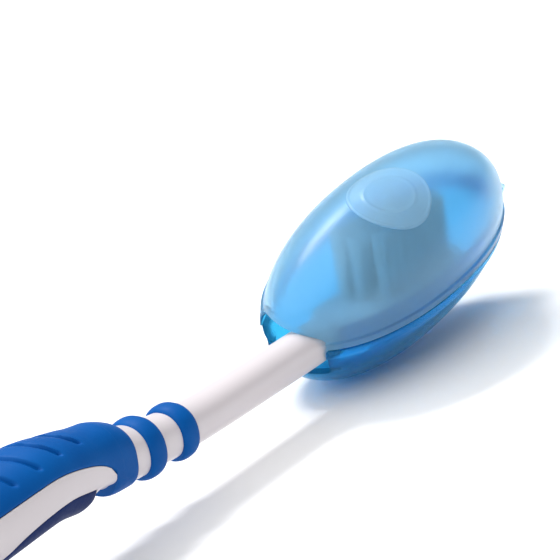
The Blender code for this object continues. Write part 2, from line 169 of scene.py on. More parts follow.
GROOVE_BACK = 0.55 * MM  # and eases out towards the tail
GROOVE_SLANT = 2.6 * MM  # how far a groove leans towards the tail in each radian round the grip
GROOVE_REACH = math.radians(51)  # half of the angle that a groove spans
FIRST_REACHES = (math.radians(40), math.radians(46))  # the same for the first two
GROOVE_FADE = 0.82  # share of that angle where a groove starts to run out

RING_STATIONS = {"grip_ring_front": 115.8 * MM, "grip_ring_rear": 108.4 * MM}
RING_WIDTH = 3.3 * MM
RING_PROUD = 0.85 * MM
RING_SEAT = 0.5 * MM
RING_EDGE = 0.05 * MM
RING_FULLNESS = 0.85
RING_AROUND = 96
RING_PROFILE = 16

# Bristles
FILAMENTS = 46
FILAMENT_RADIUS = 0.085 * MM
FILAMENT_SIDES = 5
FILAMENT_ROOT = 0.3 * MM  # how deep a filament starts in the head
FILAMENT_LEAN = 0.16  # outward lean at the tip as a share of the distance from the tuft's middle
# share of the height, share of the radius: straight, then a rounded tip
FILAMENT_PROFILE = ((0, 1), (0.35, 1), (0.7, 1), (0.985, 0.95), (0.995, 0.7), (1.0, 0.35))
TIP_SPREAD = 0.30 * MM
HEIGHT_SPREAD = 0.15 * MM

# Travel cover, as in the CAD model, in its own axes.
# The tray's lip alone is a little thinner, and the pad on the crown a little narrower.
COVER_STATION = 173.4 * MM
COVER_SHIFT = 1.2 * MM
COVER_RISE = 4.7 * MM
COVER_TURN = (math.radians(20), math.radians(-6.2), math.radians(-2))
COVER_HALF_LENGTH = 28.0 * MM
COVER_HALF_WIDTH = 12.6 * MM
DOME_HEIGHT = 15.4 * MM
TRAY_DEPTH = 13.75 * MM
COVER_WALL = 1.2 * MM
PLAN_POWER = 2.15
DOME_POWER = 2.3
TRAY_POWER = 2.05
DOME_SLANT = 0.12
TRAY_SLANT = -0.22
RIM_HEIGHT = 1.5 * MM
RIM_PROUD = 0.35 * MM
RIM_ROUND = 0.15 * MM
RIM_CHAMFER = 0.1 * MM  # height over which the rim's outer edge falls back to the shell
RIM_SHOULDER = 0.2 * MM  # first level of the shell past the rim
LIP_HEIGHT = 3.0 * MM
LIP_WALL = 0.7 * MM
LIP_FOOT = 0.6 * MM  # height over which the lip's foot runs into the wall
HALF_GAP = 0.125 * MM
COVER_AROUND = 144
COVER_LEVELS = 40
CROWN_TURN = math.radians(88.5)
MOUTH_HALF_WIDTH = 6.3 * MM
MOUTH_DEPTH = 5.8 * MM
MOUTH_REACH = 9.0 * MM
ARCH_RISE = 2.6 * MM
ARCH_POWER = 3.2
NOTCH_CORNER = 0.8 * MM
CORNER_STEPS = 6
BADGE_HALF_LENGTH = 7.0 * MM
BADGE_HALF_WIDTH = 6.6 * MM
BADGE_X = -3.1 * MM
BADGE_Y = -1.0 * MM
BADGE_PROUD = 0.24 * MM
BADGE_TOP = 0.02 * MM  # lowest level of its upper face over the crown
BADGE_UNDER = 0.015 * MM
BADGE_AROUND = 96
# share of the radius, share of the height: flat middle, plain ring, flat land, raised rim
BADGE_PROFILE = (
    [(0.0001, 0.55), (0.25, 0.55), (0.5, 0.55)]
    + [(0.56, 0.58), (0.585, 0.82), (0.62, 0.82), (0.645, 0.58)]
    + [(0.7, 0.55), (0.8, 0.55), (0.9, 0.55)]
    + [(0.925, 0.62), (0.945, 0.95), (0.96, 1.0), (0.98, 0.95), (1.0, 0.6)]
)
HINGE_RADIUS = 1.15 * MM
HINGE_CLEARANCE = 0.3 * MM  # between the rim and the hinge's barrel
HINGE_X = COVER_HALF_LENGTH + RIM_PROUD + HINGE_RADIUS + HINGE_CLEARANCE
KNUCKLE_HALF = 1.6 * MM
EAR_WIDTH = 1.5 * MM
EAR_GAP = 0.25 * MM
HINGE_BORE = 0.53 * MM
HINGE_PIN = 0.45 * MM
HINGE_SIDES = 40
WEB_HEIGHT = 0.9 * HINGE_RADIUS

# Camera and light
CAMERA_AZIMUTH = math.radians(-50.2)
CAMERA_ELEVATION = math.radians(19.8)
CAMERA_ROLL = math.radians(-9.1)
CAMERA_DISTANCE = 330 * MM
CAMERA_AIM = Vector((60.04, 13.55, 14.44)) * MM
CAMERA_LENS = 131.5
CAMERA_NEAR = 0.01
WORLD_STRENGTH = 0.33
SUN_PLACE = (-0.49, 0.2, 0.87)
SUN_ENERGY = 2.55
SUN_ANGLE = math.radians(85)
STRIP_PLACE = (0.18, 0.39, 0.71)
STRIP_AIM = (0.07, 0.0, 0.02)
STRIP_SIZE = (0.42, 0.12)
STRIP_ENERGY = 5.5
FLOOR_SIDE = 3.0  # from its middle to its edge
FLOOR_STEPS = 12
FLOOR_LEVEL = -0.2 * MM

SMOOTH_ANGLE = math.radians(38)  # sharper edges than this are drawn as edges
MERGE_DISTANCE = 1e-7
NOISE_LOW = 0.3  # a noise texture's value mostly lies between these two
NOISE_HIGH = 0.7


# ---------------------------------------------------------------- mesh helpers


def new_piece(name, fill, body, material, replaced=()):
    """Mesh object made by fill(bm), riding on a body and standing for CAD nodes."""
    mesh = bpy.data.meshes.new(name)
    bm = bmesh.new()
    fill(bm)
    bmesh.ops.remove_doubles(bm, verts=bm.verts, dist=MERGE_DISTANCE)
    bmesh.ops.recalc_face_normals(bm, faces=bm.faces)
    bm.to_mesh(mesh)
    bm.free()
    mesh.shade_smooth()
    mesh.set_sharp_from_angle(angle=SMOOTH_ANGLE)
    obj = bpy.data.objects.new(name, mesh)
    bpy.context.scene.collection.objects.link(obj)
    mesh.materials.append(material)
    if body:
        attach(obj, body)
    if replaced:
        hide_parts(*replaced)
    return obj


def signed_power(value, power):
    """Power of the value's size, with the value's own sign."""
    return math.copysign(abs(value) ** power, value)


def smoothstep(low, high, value):
    """0 below low, 1 above high, and an even ease between."""
    share = min(1.0, max(0.0, (value - low) / (high - low)))
    return share * share * (3 - 2 * share)


def loft(bm, rings):
    """Closed body through rings of equal length, with a face at each end."""
    verts = [[bm.verts.new(point) for point in ring] for ring in rings]
    for ring, following in zip(verts, verts[1:]):
        for i in range(len(ring)):
            j = (i + 1) % len(ring)
            bm.faces.new((ring[i], ring[j], following[j], following[i]))
    bm.faces.new(verts[0])
    bm.faces.new(verts[-1])


def torus_like(bm, rows):
    """Ring-shaped body: rows of points that close on themselves both ways."""
    verts = [[bm.verts.new(point) for point in row] for row in rows]
    for row, following in zip(verts, verts[1:] + verts[:1]):
        for i in range(len(row)):
            j = (i + 1) % len(row)
            bm.faces.new((row[i], row[j], following[j], following[i]))


def spaced(low, high, step):
    """Evenly spaced values from low to high, about a step apart."""
    count = max(1, round((high - low) / step))
    return [low + (high - low) * i / count for i in range(count + 1)]


# ---------------------------------------------------------------- handle


def smooth_value(table, at, column):
    """Monotone cubic through the table's rows."""
    stations = [row[0] * MM for row in table]
    values = [row[column] * MM for row in table]
    at = min(max(at, stations[0]), stations[-1])
    last = len(stations) - 1
    i = max(k for k in range(last) if stations[k] <= at)
    slopes = [(values[k + 1] - values[k]) / (stations[k + 1] - stations[k]) for k in range(last)]

    def tangent(k):
        if k in (0, last):
            return slopes[min(k, last - 1)]
        before, after = slopes[k - 1], slopes[k]
        return 0.0 if before * after <= 0 else 2 * before * after / (before + after)

    span = stations[i + 1] - stations[i]
    t = (at - stations[i]) / span
    return (
        (2 * t**3 - 3 * t**2 + 1) * values[i]
        + (t**3 - 2 * t**2 + t) * span * tangent(i)
        + (3 * t**2 - 2 * t**3) * values[i + 1]
        + (t**3 - t**2) * span * tangent(i + 1)
    )


class Section:
    """The handle's cross-section at a station; angle 0 is -Y and a quarter turn is the bristle side."""

    def __init__(self, station):
        self.x = TAIL_X + station
        self.centre = smooth_value(HANDLE, station, 1)
        self.half_width = smooth_value(HANDLE, station, 2)
        self.half_height = smooth_value(HANDLE, station, 3)

    def point(self, angle, offset=0.0):
        """Point on the surface, or at an offset from it, that stays on or above the ground."""
        share = 2 / SECTION_POWER
        y = -(self.half_width + offset) * signed_power(math.cos(angle), share)
        z = (self.half_height + offset) * signed_power(math.sin(angle), share)
        return Vector((self.x, AXIS_Y + y, max(0.0, AXIS_Z + self.centre + z)))


def stripe_top(station):
    """Angle of the white side stripe's upper edge, which falls to the stripe's front tip."""
    behind = STRIPE_TIP - station
    open_share = 0.0 if behind <= 0 else min(1.0, behind / STRIPE_TAPER)
    rounding = math.sqrt(1 - (1 - open_share) ** 2)
    return STRIPE_MIDDLE + (STRIPE_TOP - STRIPE_MIDDLE) * rounding


def strip_edge(station):
    """Angle of the underside strip's upper edge."""
    return math.radians(smooth_value(STRIP_EDGE, station, 1) / MM)


def head_section(along):
    """Half width, half height and rise of the head's section at a share of its length."""
    root_width = HANDLE[-1][2] * MM
    root_height = HANDLE[-1][3] * MM
    length = BRUSH_LENGTH - HANDLE[-1][0] * MM
    ease = smoothstep(0.0, HEAD_ROOT, along * length)
    full = root_width + (HEAD_WIDTH / 2 - root_width) * ease
    height = root_height + (HEAD_THICKNESS / 2 - root_height) * ease
    reach = max(0.0, 2 * along - 1)
    taper = max(0.0, 1 - reach**HEAD_POWER) ** (1 / HEAD_POWER)
    return full * taper, height * (HEAD_EDGE + (1 - HEAD_EDGE) * taper), HEAD_RISE * ease


def core_angles(station):
    """Angles of the core's columns, crowded so that a column follows each edge of the soft skins."""
    top = stripe_top(station) if station < GRIP_END else STRIPE_TOP
    bottom = min(strip_edge(station), top - STRIPE_LEAST)
    half = math.pi
    spans = [
        (NEAR_SIDE, bottom, top, SIDE_COLUMNS),
        (TOP, top, half - top, TOP_COLUMNS),
        (FAR_SIDE, half - top, half - bottom, SIDE_COLUMNS),
        (BOTTOM, half - bottom, 2 * half + bottom, BOTTOM_COLUMNS),
    ]
    columns = []
    for region, low, high, count in spans:
        columns += [(region, low + (high - low) * i / count) for i in range(count + 1)]
    return columns


def waist(station, angle):
    """How far the core's underside recedes between strip and collar."""
    away = abs(station - WAIST_MIDDLE) / WAIST_HALF
    below = smoothstep(*WAIST_SIDES, -math.sin(angle))
    return WAIST_DEPTH * below * (1 - smoothstep(WAIST_LEVEL, 1.0, away))


def handle_ring(station):
    """Section of the core, sunk where a soft skin lies in it."""
    section = Section(station)
    ring = []
    for region, angle in core_angles(station):
        sunk = region == TOP and GRIP_START < station < GRIP_END
        sunk = sunk or (region == BOTTOM and STRIP_START < station < STRIP_END)
        ring.append(section.point(angle, -SKIN_DEPTH if sunk else -waist(station, angle)))
    return ring


def head_ring(along):
    """Section of the head plate at a share of its length."""
    ends = HANDLE[-1][0] * MM
    half_width, half_height, rise = head_section(along)
    x = TAIL_X + ends + along * (BRUSH_LENGTH - ends)
    power = 2 / (SECTION_POWER + HEAD_SQUARENESS * min(1.0, along / HEAD_SQUARE_BY))
    ring = []
    for _, angle in core_angles(ends):
        y = -half_width * signed_power(math.cos(angle), power)
        z = half_height * signed_power(math.sin(angle), power)
        ring.append(Vector((x, AXIS_Y + y, AXIS_Z + rise + z)))
    return ring


def fill_core(bm):
    """Tail, handle, neck and head plate as one body, with recesses for the soft skins."""
    stations = TAIL_ROWS + spaced(TAIL_ROWS[-1] + ROW_STEP, HANDLE[-1][0] * MM, ROW_STEP)
    for end in (GRIP_START, STRIP_START, STRIP_END, GRIP_END):
        stations += [end - RECESS_STEP, end + RECESS_STEP]
    shares = [i / HEAD_ROWS for i in range(1, HEAD_ROWS) if i / HEAD_ROWS < HEAD_TIP_ROWS[0]]
    rings = [handle_ring(station) for station in sorted(stations)]
    rings += [head_ring(along) for along in shares + list(HEAD_TIP_ROWS)]
    loft(bm, rings)


# ---------------------------------------------------------------- soft skins and rings


def edge_columns(count):
    """Shares 0 to 1, close together near both ends."""
    return [0.5 - 0.5 * math.cos(math.pi * i / count) for i in range(count + 1)]


def edge_fall(distance):
    """Depth of a skin's rounded edge at this distance from the edge."""
    if distance >= EDGE_ROUND:
        return 0.0
    return EDGE_ROUND * EDGE_DROP * (1 - math.sqrt(1 - (1 - distance / EDGE_ROUND) ** 2))


def groove_depth(station, angle):
    """Slanted grooves across the top, like the edges of overlapping scales."""
    turn = angle - math.pi / 2
    depth = 0.0
    for i in range(GROOVES):
        reach = FIRST_REACHES[i] if i < len(FIRST_REACHES) else GROOVE_REACH
        if abs(turn) > reach:
            continue
        away = GROOVE_FIRST - i * GROOVE_PITCH - GROOVE_SLANT * turn - station
        width = GROOVE_BACK if away > 0 else GROOVE_FRONT
        fade = 1 - smoothstep(GROOVE_FADE, 1.0, abs(turn) / reach)
        depth = max(depth, fade * math.exp(-((away / width) ** 2)))
    return GROOVE_DEPTH * depth


def collar_swell(station, angle):
    """How far the grip stands out over the top as it becomes the collar."""
    over_top = smoothstep(*COLLAR_SIDES, math.sin(angle))
    full = COLLAR_FRONT - COLLAR_LAND
    along = smoothstep(full - COLLAR_RISE, full, station)
    return (COLLAR_FLUSH + (COLLAR_PROUD - COLLAR_FLUSH) * over_top) * along


def skin_rings(stations, edges, outer, columns, inner):
    """Sections of a soft skin whose outer face rounds off at its sides and ends."""
    first, last = stations[0], stations[-1]
    rings = []
    for station in stations:
        low, high = edges(station)
        section = Section(station)
        radius = (section.half_width + section.half_height) / 2
        above = []
        for share in edge_columns(columns):
            angle = low + (high - low) * share
            distance = min(share, 1 - share) * (high - low) * radius
            fall = edge_fall(distance) + edge_fall(station - first) + edge_fall(last - station)
            above.append(section.point(angle, SKIN_PROUD + outer(station, angle) - fall))
        turns = [low + (high - low) * i / INNER_COLUMNS for i in range(INNER_COLUMNS, -1, -1)]
        rings.append(above + [section.point(turn, -inner) for turn in turns])
    return rings


def end_rows(low, high, step):
    """Stations with extra rows where the skin rounds off at both ends."""
    first = [low] + [low + distance for distance in EDGE_ROWS]
    middle = spaced(low + EDGE_ROWS_END, high - EDGE_ROWS_END, step)
    last = [high - distance for distance in reversed(EDGE_ROWS)] + [high]
    return first + middle + last


def fill_grip_top(bm):
    """Grooved skin over the top of the handle."""

    def edges(station):
        low = stripe_top(station) + SKIN_MARGIN
        return low, math.pi - low

    def outer(station, angle):
        return collar_swell(station, angle) - groove_depth(station, angle)

    stations = end_rows(GRIP_START, GRIP_END, GRIP_STEP)
    loft(bm, skin_rings(stations, edges, outer, SKIN_COLUMNS, SKIN_DEPTH - SKIN_CLEARANCE))


def fill_strip(bm):
    """Skin under the handle, with a low bump at its front end."""

    def edges(station):
        high = strip_edge(station) - SKIN_MARGIN
        return -math.pi - high, high

    def outer(station, angle):
        behind = (STRIP_END - station) / BUMP_LENGTH
        if behind >= 1:
            return 0.0
        rise = BUMP_PROUD * math.sin(math.pi * (1 - behind) ** 2)
        return rise * max(0.0, -math.sin(angle))

    stations = end_rows(STRIP_START, STRIP_END, STRIP_STEP)
    loft(bm, skin_rings(stations, edges, outer, STRIP_COLUMNS, DEEP_SEAT))


def fill_collar(bm):
    """Band round the grip's front end, flush with the skin above and with a free rear edge below."""
    rows = []
    for i in range(COLLAR_AROUND):
        angle = 2 * math.pi * i / COLLAR_AROUND - math.pi / 2
        below = 1 - smoothstep(*COLLAR_FREE, math.asin(math.sin(angle)))
        column = [(COLLAR_REAR, -DEEP_SEAT)]
        for share in COLLAR_SHARES:
            station = COLLAR_REAR + (COLLAR_FRONT - COLLAR_REAR) * share
            flush = collar_swell(station, angle) - COLLAR_UNDER
            risen = min(1.0, share / COLLAR_LIP)
            lift = below * COLLAR_FLUSH * math.sqrt(1 - (1 - risen) ** 2)
            front_fall = edge_fall((COLLAR_FRONT - station) * COLLAR_FRONT_SPREAD) * COLLAR_FRONT_DROP
            column.append((station, SKIN_PROUD + max(flush, lift) - front_fall))
        column.append((COLLAR_FRONT, -DEEP_SEAT))
        rows.append([Section(station).point(angle, offset) for station, offset in column])
    torus_like(bm, rows)


def fill_ring(bm, middle):
    """Rounded bead round the neck that follows the neck's section."""
    section = Section(middle)
    profile = [(RING_WIDTH / 2, -RING_SEAT)]
    for i in range(RING_PROFILE + 1):
        turn = math.pi * i / RING_PROFILE
        along = RING_WIDTH / 2 * signed_power(math.cos(turn), RING_FULLNESS)
        height = (RING_PROUD - RING_EDGE) * signed_power(math.sin(turn), RING_FULLNESS)
        profile.append((along, RING_EDGE + height))
    profile.append((-RING_WIDTH / 2, -RING_SEAT))
    rows = []
    for i in range(RING_AROUND):
        angle = 2 * math.pi * i / RING_AROUND
        rows.append([section.point(angle, offset) + Vector((shift, 0, 0)) for shift, offset in profile])
    torus_like(bm, rows)


# ---------------------------------------------------------------- bristles


def fill_tuft(bm, low, high, seed):
    """A bundle of round-ended filaments that opens slightly towards its tips."""
    rng = random.Random(seed)
    centre = (low + high) / 2
    radius = (high.x - low.x) / 2
    base = AXIS_Z + HEAD_RISE + HEAD_THICKNESS / 2 - FILAMENT_ROOT
    golden = math.pi * (3 - math.sqrt(5))
    for i in range(FILAMENTS):
        reach = (radius - FILAMENT_RADIUS) * math.sqrt((i + 0.5) / FILAMENTS)
        turn = golden * i + seed
        root = Vector((centre.x + reach * math.cos(turn), centre.y + reach * math.sin(turn), base))
        lean = Vector((math.cos(turn), math.sin(turn), 0)) * (FILAMENT_LEAN * reach)
        lean += Vector((rng.uniform(-1, 1), rng.uniform(-1, 1), 0)) * TIP_SPREAD / 2
        top = high.z - HEIGHT_SPREAD * rng.random()
        tall = top - base
        rings = []
        for share, size in FILAMENT_PROFILE:
            middle = root + lean * share**2 + Vector((0, 0, tall * share))
            ring = []
            for k in range(FILAMENT_SIDES):
                side = 2 * math.pi * k / FILAMENT_SIDES
                ring.append(middle + Vector((math.cos(side), math.sin(side), 0)) * FILAMENT_RADIUS * size)
            rings.append(ring)
        loft(bm, rings)


# ---------------------------------------------------------------- cover


def slanted(z, x):
    """Height of the shell's point once dome and tray lean towards one end."""
    slant = DOME_SLANT if z >= 0 else TRAY_SLANT
    return z * (1 + slant * x / COVER_HALF_LENGTH)


def outline_at(z, inset=0.0, widen=0.0):
    """Plan outline of the shell at a height, moved inwards by inset and outwards by widen."""
    height, power = (DOME_HEIGHT, DOME_POWER) if z >= 0 else (TRAY_DEPTH, TRAY_POWER)
    reach = max(0.0, 1 - (abs(z) / (height - inset)) ** power) ** (1 / power)
    share = 2 / PLAN_POWER
    ring = []
    for i in range(COVER_AROUND):
        angle = 2 * math.pi * i / COVER_AROUND
        x = (COVER_HALF_LENGTH - inset + widen) * reach * signed_power(math.cos(angle), share)
        y = (COVER_HALF_WIDTH - inset + widen) * reach * signed_power(math.sin(angle), share)
        ring.append(Vector((x, y, slanted(z, x))))
    return ring


def levels(height, power, start):
    """Heights of the shell's outlines from start to the crown, closer together near the crown."""
    turns = [CROWN_TURN * (i + 1) / COVER_LEVELS for i in range(COVER_LEVELS)]
    heights = [height * math.sin(turn) ** (2 / power) for turn in turns]
    return [z for z in heights if z > start]


def fill_dome(bm):
    """Upper shell: its inner face, its rim and its outer face."""
    above = RIM_HEIGHT + RIM_SHOULDER
    inside = [outline_at(z, COVER_WALL) for z in levels(DOME_HEIGHT - COVER_WALL, DOME_POWER, above)]
    rim = [
        outline_at(HALF_GAP, COVER_WALL),
        outline_at(HALF_GAP, 0.0, RIM_PROUD - RIM_ROUND),
        outline_at(HALF_GAP + 0.3 * RIM_ROUND, 0.0, RIM_PROUD - 0.3 * RIM_ROUND),
        outline_at(HALF_GAP + RIM_ROUND, 0.0, RIM_PROUD),
        outline_at(RIM_HEIGHT - RIM_ROUND, 0.0, RIM_PROUD),
        outline_at(RIM_HEIGHT, 0.0, RIM_PROUD * 0.6),
        outline_at(RIM_HEIGHT + RIM_CHAMFER, 0.0, RIM_PROUD * 0.1),
    ]
    outside = [outline_at(z) for z in levels(DOME_HEIGHT, DOME_POWER, above)]
    loft(bm, inside[::-1] + rim + outside)


def fill_tray(bm):
    """Lower shell: its outer face, its rim, the lip that stands up inside the dome, and its inner face."""
    outside = [outline_at(-z) for z in levels(TRAY_DEPTH, TRAY_POWER, RIM_HEIGHT + RIM_SHOULDER)]
    lip = COVER_WALL + 2 * HALF_GAP
    rim = [
        outline_at(-RIM_HEIGHT - RIM_CHAMFER, 0.0, RIM_PROUD * 0.1),
        outline_at(-RIM_HEIGHT, 0.0, RIM_PROUD * 0.6),
        outline_at(-RIM_HEIGHT + RIM_ROUND, 0.0, RIM_PROUD),
        outline_at(-HALF_GAP - RIM_ROUND, 0.0, RIM_PROUD),
        outline_at(-HALF_GAP - 0.3 * RIM_ROUND, 0.0, RIM_PROUD - 0.3 * RIM_ROUND),
        outline_at(-HALF_GAP, 0.0, RIM_PROUD - RIM_ROUND),
        outline_at(-HALF_GAP, lip),
        outline_at(LIP_HEIGHT - RIM_ROUND, lip),
        outline_at(LIP_HEIGHT, lip + RIM_ROUND),
        outline_at(LIP_HEIGHT, lip + LIP_WALL - RIM_ROUND),
        outline_at(LIP_HEIGHT - RIM_ROUND, lip + LIP_WALL),
        outline_at(-RIM_HEIGHT, lip + LIP_WALL),
        outline_at(-RIM_HEIGHT - LIP_FOOT, lip + 0.3 * LIP_WALL),
    ]
    start = 2 * RIM_HEIGHT
    inside = [outline_at(-z, COVER_WALL) for z in levels(TRAY_DEPTH - COVER_WALL, TRAY_POWER, start)]
    loft(bm, outside[::-1] + rim + inside)


def dome_height_at(x, y):
    """Height of the dome's outer face over a point of the plan."""
    plan = (abs(x) / COVER_HALF_LENGTH) ** PLAN_POWER + (abs(y) / COVER_HALF_WIDTH) ** PLAN_POWER
    return slanted(DOME_HEIGHT * (1 - plan ** (DOME_POWER / PLAN_POWER)) ** (1 / DOME_POWER), x)


def fill_badge(bm):
    """Thin oval pad that follows the crown, with a raised rim and a plain ring inside it."""

    def ring(share, lift):
        points = []
        for i in range(BADGE_AROUND):
            angle = 2 * math.pi * i / BADGE_AROUND
            x = BADGE_X + BADGE_HALF_LENGTH * share * math.cos(angle)
            y = BADGE_Y + BADGE_HALF_WIDTH * share * math.sin(angle)
            points.append(Vector((x, y, dome_height_at(x, y) + lift)))
        return points

    tops = [ring(share, BADGE_TOP + BADGE_PROUD * lift) for share, lift in BADGE_PROFILE]
    under = [ring(share, BADGE_UNDER) for share, _ in BADGE_PROFILE]
    loft(bm, tops + under[::-1])


def mouth_ends():
    """Both ends, along X, of the bodies that cut the mouth."""
    return (-COVER_HALF_LENGTH - COVER_WALL, -COVER_HALF_LENGTH + MOUTH_REACH)


def fill_arch(bm):
    """Rounded opening for the neck in the dome."""
    outline = []
    for i in range(COVER_AROUND):
        angle = 2 * math.pi * i / COVER_AROUND
        y = MOUTH_HALF_WIDTH * signed_power(math.cos(angle), 2 / ARCH_POWER)
        z = ARCH_RISE * signed_power(math.sin(angle), 2 / ARCH_POWER)
        outline.append(Vector((0.0, y, z)))
    loft(bm, [[point + Vector((x, 0.0, 0.0)) for point in outline] for x in mouth_ends()])


def fill_notch(bm):
    """Slot with rounded lower corners for the neck."""
    corner_y = MOUTH_HALF_WIDTH - NOTCH_CORNER
    corner_z = -MOUTH_DEPTH + NOTCH_CORNER
    arc = []
    for i in range(CORNER_STEPS + 1):
        turn = math.pi / 2 * i / CORNER_STEPS
        arc.append((corner_y + NOTCH_CORNER * math.cos(turn), corner_z - NOTCH_CORNER * math.sin(turn)))
    top = (MOUTH_HALF_WIDTH, 2 * LIP_HEIGHT)
    outline = [(-y, z) for y, z in [top] + arc] + arc[::-1] + [top]
    loft(bm, [[Vector((x, y, z)) for y, z in outline] for x in mouth_ends()])


def cross_rod(bm, radius, low, high):
    """Cylinder along Y on the hinge's axis."""
    rings = []
    for y in (low, high):
        ring = []
        for i in range(HINGE_SIDES):
            angle = 2 * math.pi * i / HINGE_SIDES
            ring.append(Vector((HINGE_X + radius * math.cos(angle), y, radius * math.sin(angle))))
        rings.append(ring)
    loft(bm, rings)


def hinge_web(bm, side, low, high):
    """Block that joins a hinge's barrel to the dome (side 1) or the tray (side -1)."""
    near = COVER_HALF_LENGTH - COVER_WALL / 2
    heights = sorted((side * 2 * HALF_GAP, side * WEB_HEIGHT))
    corners = ((near, low), (HINGE_X, low), (HINGE_X, high), (near, high))
    loft(bm, [[Vector((x, y, z)) for x, y in corners] for z in heights])


def cover_matrix():
    """Where the cover's own axes lie in the frame."""
    place = Vector((TAIL_X + COVER_STATION, AXIS_Y + COVER_SHIFT, AXIS_Z + COVER_RISE))
    return Matrix.Translation(place) @ Euler(COVER_TURN).to_matrix().to_4x4()


def joined(name, base, additions, cuts, body, material, replaced):
    """Piece in the cover's axes, made with Booleans that are applied at once."""
    obj = new_piece(name, base, None, material)
    helpers = []
    for operation, makers in (("UNION", additions), ("DIFFERENCE", cuts)):
        for maker in makers:
            other = new_piece(f"{name}_{operation}_{len(helpers)}", maker, None, material)
            helpers.append(other)
            modifier = obj.modifiers.new(operation, "BOOLEAN")
            modifier.operation = operation
            modifier.solver = "EXACT"
            modifier.object = other
    bpy.context.view_layer.update()
    evaluated = obj.evaluated_get(bpy.context.evaluated_depsgraph_get())
    mesh = bpy.data.meshes.new_from_object(evaluated)
    mesh.transform(cover_matrix())
    mesh.materials.clear()
    mesh.materials.append(material)
    obj.modifiers.clear()
    obj.data = mesh
    for other in helpers:
        bpy.data.objects.remove(other, do_unlink=True)
    mesh.shade_smooth()
    mesh.set_sharp_from_angle(angle=SMOOTH_ANGLE)
    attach(obj, body)
    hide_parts(*replaced)
    return obj


# ---------------------------------------------------------------- materials


class Nodes:
    """Short way to add and link shader nodes."""

    def __init__(self, name):
        self.material = bpy.data.materials.new(name)
        self.material.use_nodes = True
        self.tree = self.material.node_tree
        self.shader = self.tree.nodes["Principled BSDF"]
        self.coords = self.tree.nodes.new("ShaderNodeTexCoord")

    def add(self, kind, **values):
        node = self.tree.nodes.new(kind)
        for key, value in values.items():
            if key.startswith("in_"):
                node.inputs[key[3:].replace("_", " ")].default_value = value
            else:
                setattr(node, key, value)
        return node

    def link(self, source, output, target, entry):
        self.tree.links.new(source.outputs[output], target.inputs[entry])

    def set(self, **values):
        """Constants on the shader's own sockets."""
        for key, value in values.items():
            self.shader.inputs[key.replace("_", " ")].default_value = value

    def noise(self, scale, detail=3.0, roughness=0.5):
        """Noise in the piece's own coordinates, with scale in waves for each metre."""
        node = self.add("ShaderNodeTexNoise", in_Scale=scale, in_Detail=detail, in_Roughness=roughness)
        self.link(self.coords, "Object", node, "Vector")
        return node

    def tone(self, source, dark, light, low=NOISE_LOW, high=NOISE_HIGH):
        """Base colour between two close tones."""
        node = self.add("ShaderNodeValToRGB")
        node.color_ramp.elements[0].position = low
        node.color_ramp.elements[1].position = high
        node.color_ramp.elements[0].color = (*dark, 1.0)
        node.color_ramp.elements[1].color = (*light, 1.0)
        self.link(source, "Fac", node, "Fac")
        self.link(node, "Color", self.shader, "Base Color")

    def roughness(self, source, low, high):
        """Roughness that wanders between low and high."""
        node = self.add("ShaderNodeMapRange")
        node.inputs["From Min"].default_value = NOISE_LOW
        node.inputs["From Max"].default_value = NOISE_HIGH
        node.inputs["To Min"].default_value = low
        node.inputs["To Max"].default_value = high
        self.link(source, "Fac", node, "Value")
        self.link(node, "Result", self.shader, "Roughness")

    def bump(self, source, strength, distance):
        """Fine surface relief."""
        node = self.add("ShaderNodeBump", in_Strength=strength, in_Distance=distance)
        self.link(source, "Fac", node, "Height")
        self.link(node, "Normal", self.shader, "Normal")


def white_plastic():
    m = Nodes("white_plastic")
    m.tone(m.noise(30, 2), (0.65, 0.605, 0.63), (0.66, 0.615, 0.64))
    m.roughness(m.noise(600), 0.30, 0.325)
    m.bump(m.noise(2500, 4), 0.05, 0.00004)
    m.set(IOR=1.46, Subsurface_Weight=0.1, Subsurface_Scale=0.0015)
    m.shader.inputs["Subsurface Radius"].default_value = (1.0, 0.85, 0.8)
    return m.material


def soft_blue(name, dark, light):
    """Matt elastomer."""
    m = Nodes(name)
    m.tone(m.noise(120, 3), dark, light)
    m.roughness(m.noise(1500, 4), 0.46, 0.58)
    m.bump(m.noise(3000, 5, 0.65), 0.3, 0.00008)
    m.set(IOR=1.5, Specular_IOR_Level=0.09)
    return m.material


def nylon():
    m = Nodes("nylon")
    m.tone(m.noise(400, 2), (0.90, 0.92, 0.92), (0.96, 0.97, 0.97), 0.35, 0.65)
    m.roughness(m.noise(2500), 0.3, 0.42)
    m.bump(m.noise(6000, 2), 0.1, 0.00002)
    m.set(IOR=1.53, Transmission_Weight=0.1)
    return m.material


def clear_blue(name, dark, light, transmission, rough_low, rough_high):
    """Tinted, slightly milky plastic under a soft gloss."""
    m = Nodes(name)
    m.tone(m.noise(45, 2), dark, light)
    m.roughness(m.noise(220, 3), rough_low, rough_high)
    m.bump(m.noise(260, 3), 0.04, 0.0003)
    m.set(IOR=1.14, Transmission_Weight=transmission)
    m.set(Coat_Weight=0.4, Coat_Roughness=0.24, Coat_IOR=1.3)
    return m.material


def pale_floor():
    m = Nodes("floor")
    m.tone(m.noise(4, 2), (0.93, 0.93, 0.935), (0.95, 0.95, 0.955))
    m.set(Roughness=0.9, Specular_IOR_Level=0.1)
    return m.material


# ---------------------------------------------------------------- pieces


def make_brush():
    white = white_plastic()
    blue = soft_blue("soft_blue", (0.0, 0.076, 0.31), (0.0, 0.092, 0.355))
    deep = soft_blue("soft_blue_underside", (0.006, 0.018, 0.095), (0.009, 0.026, 0.12))
    new_piece("brush_core", fill_core, "brush", white, ["handle_core"])
    new_piece("grip_sleeve", fill_grip_top, "brush", blue, ["grip_top"])
    new_piece("grip_collar", fill_collar, "brush", blue)
    new_piece("grip_strip", fill_strip, "brush", deep, ["grip_underside"])
    for node, station in RING_STATIONS.items():
        fill = partial(fill_ring, middle=station)
        new_piece(f"{node}_bead", fill, "brush", blue, [node])


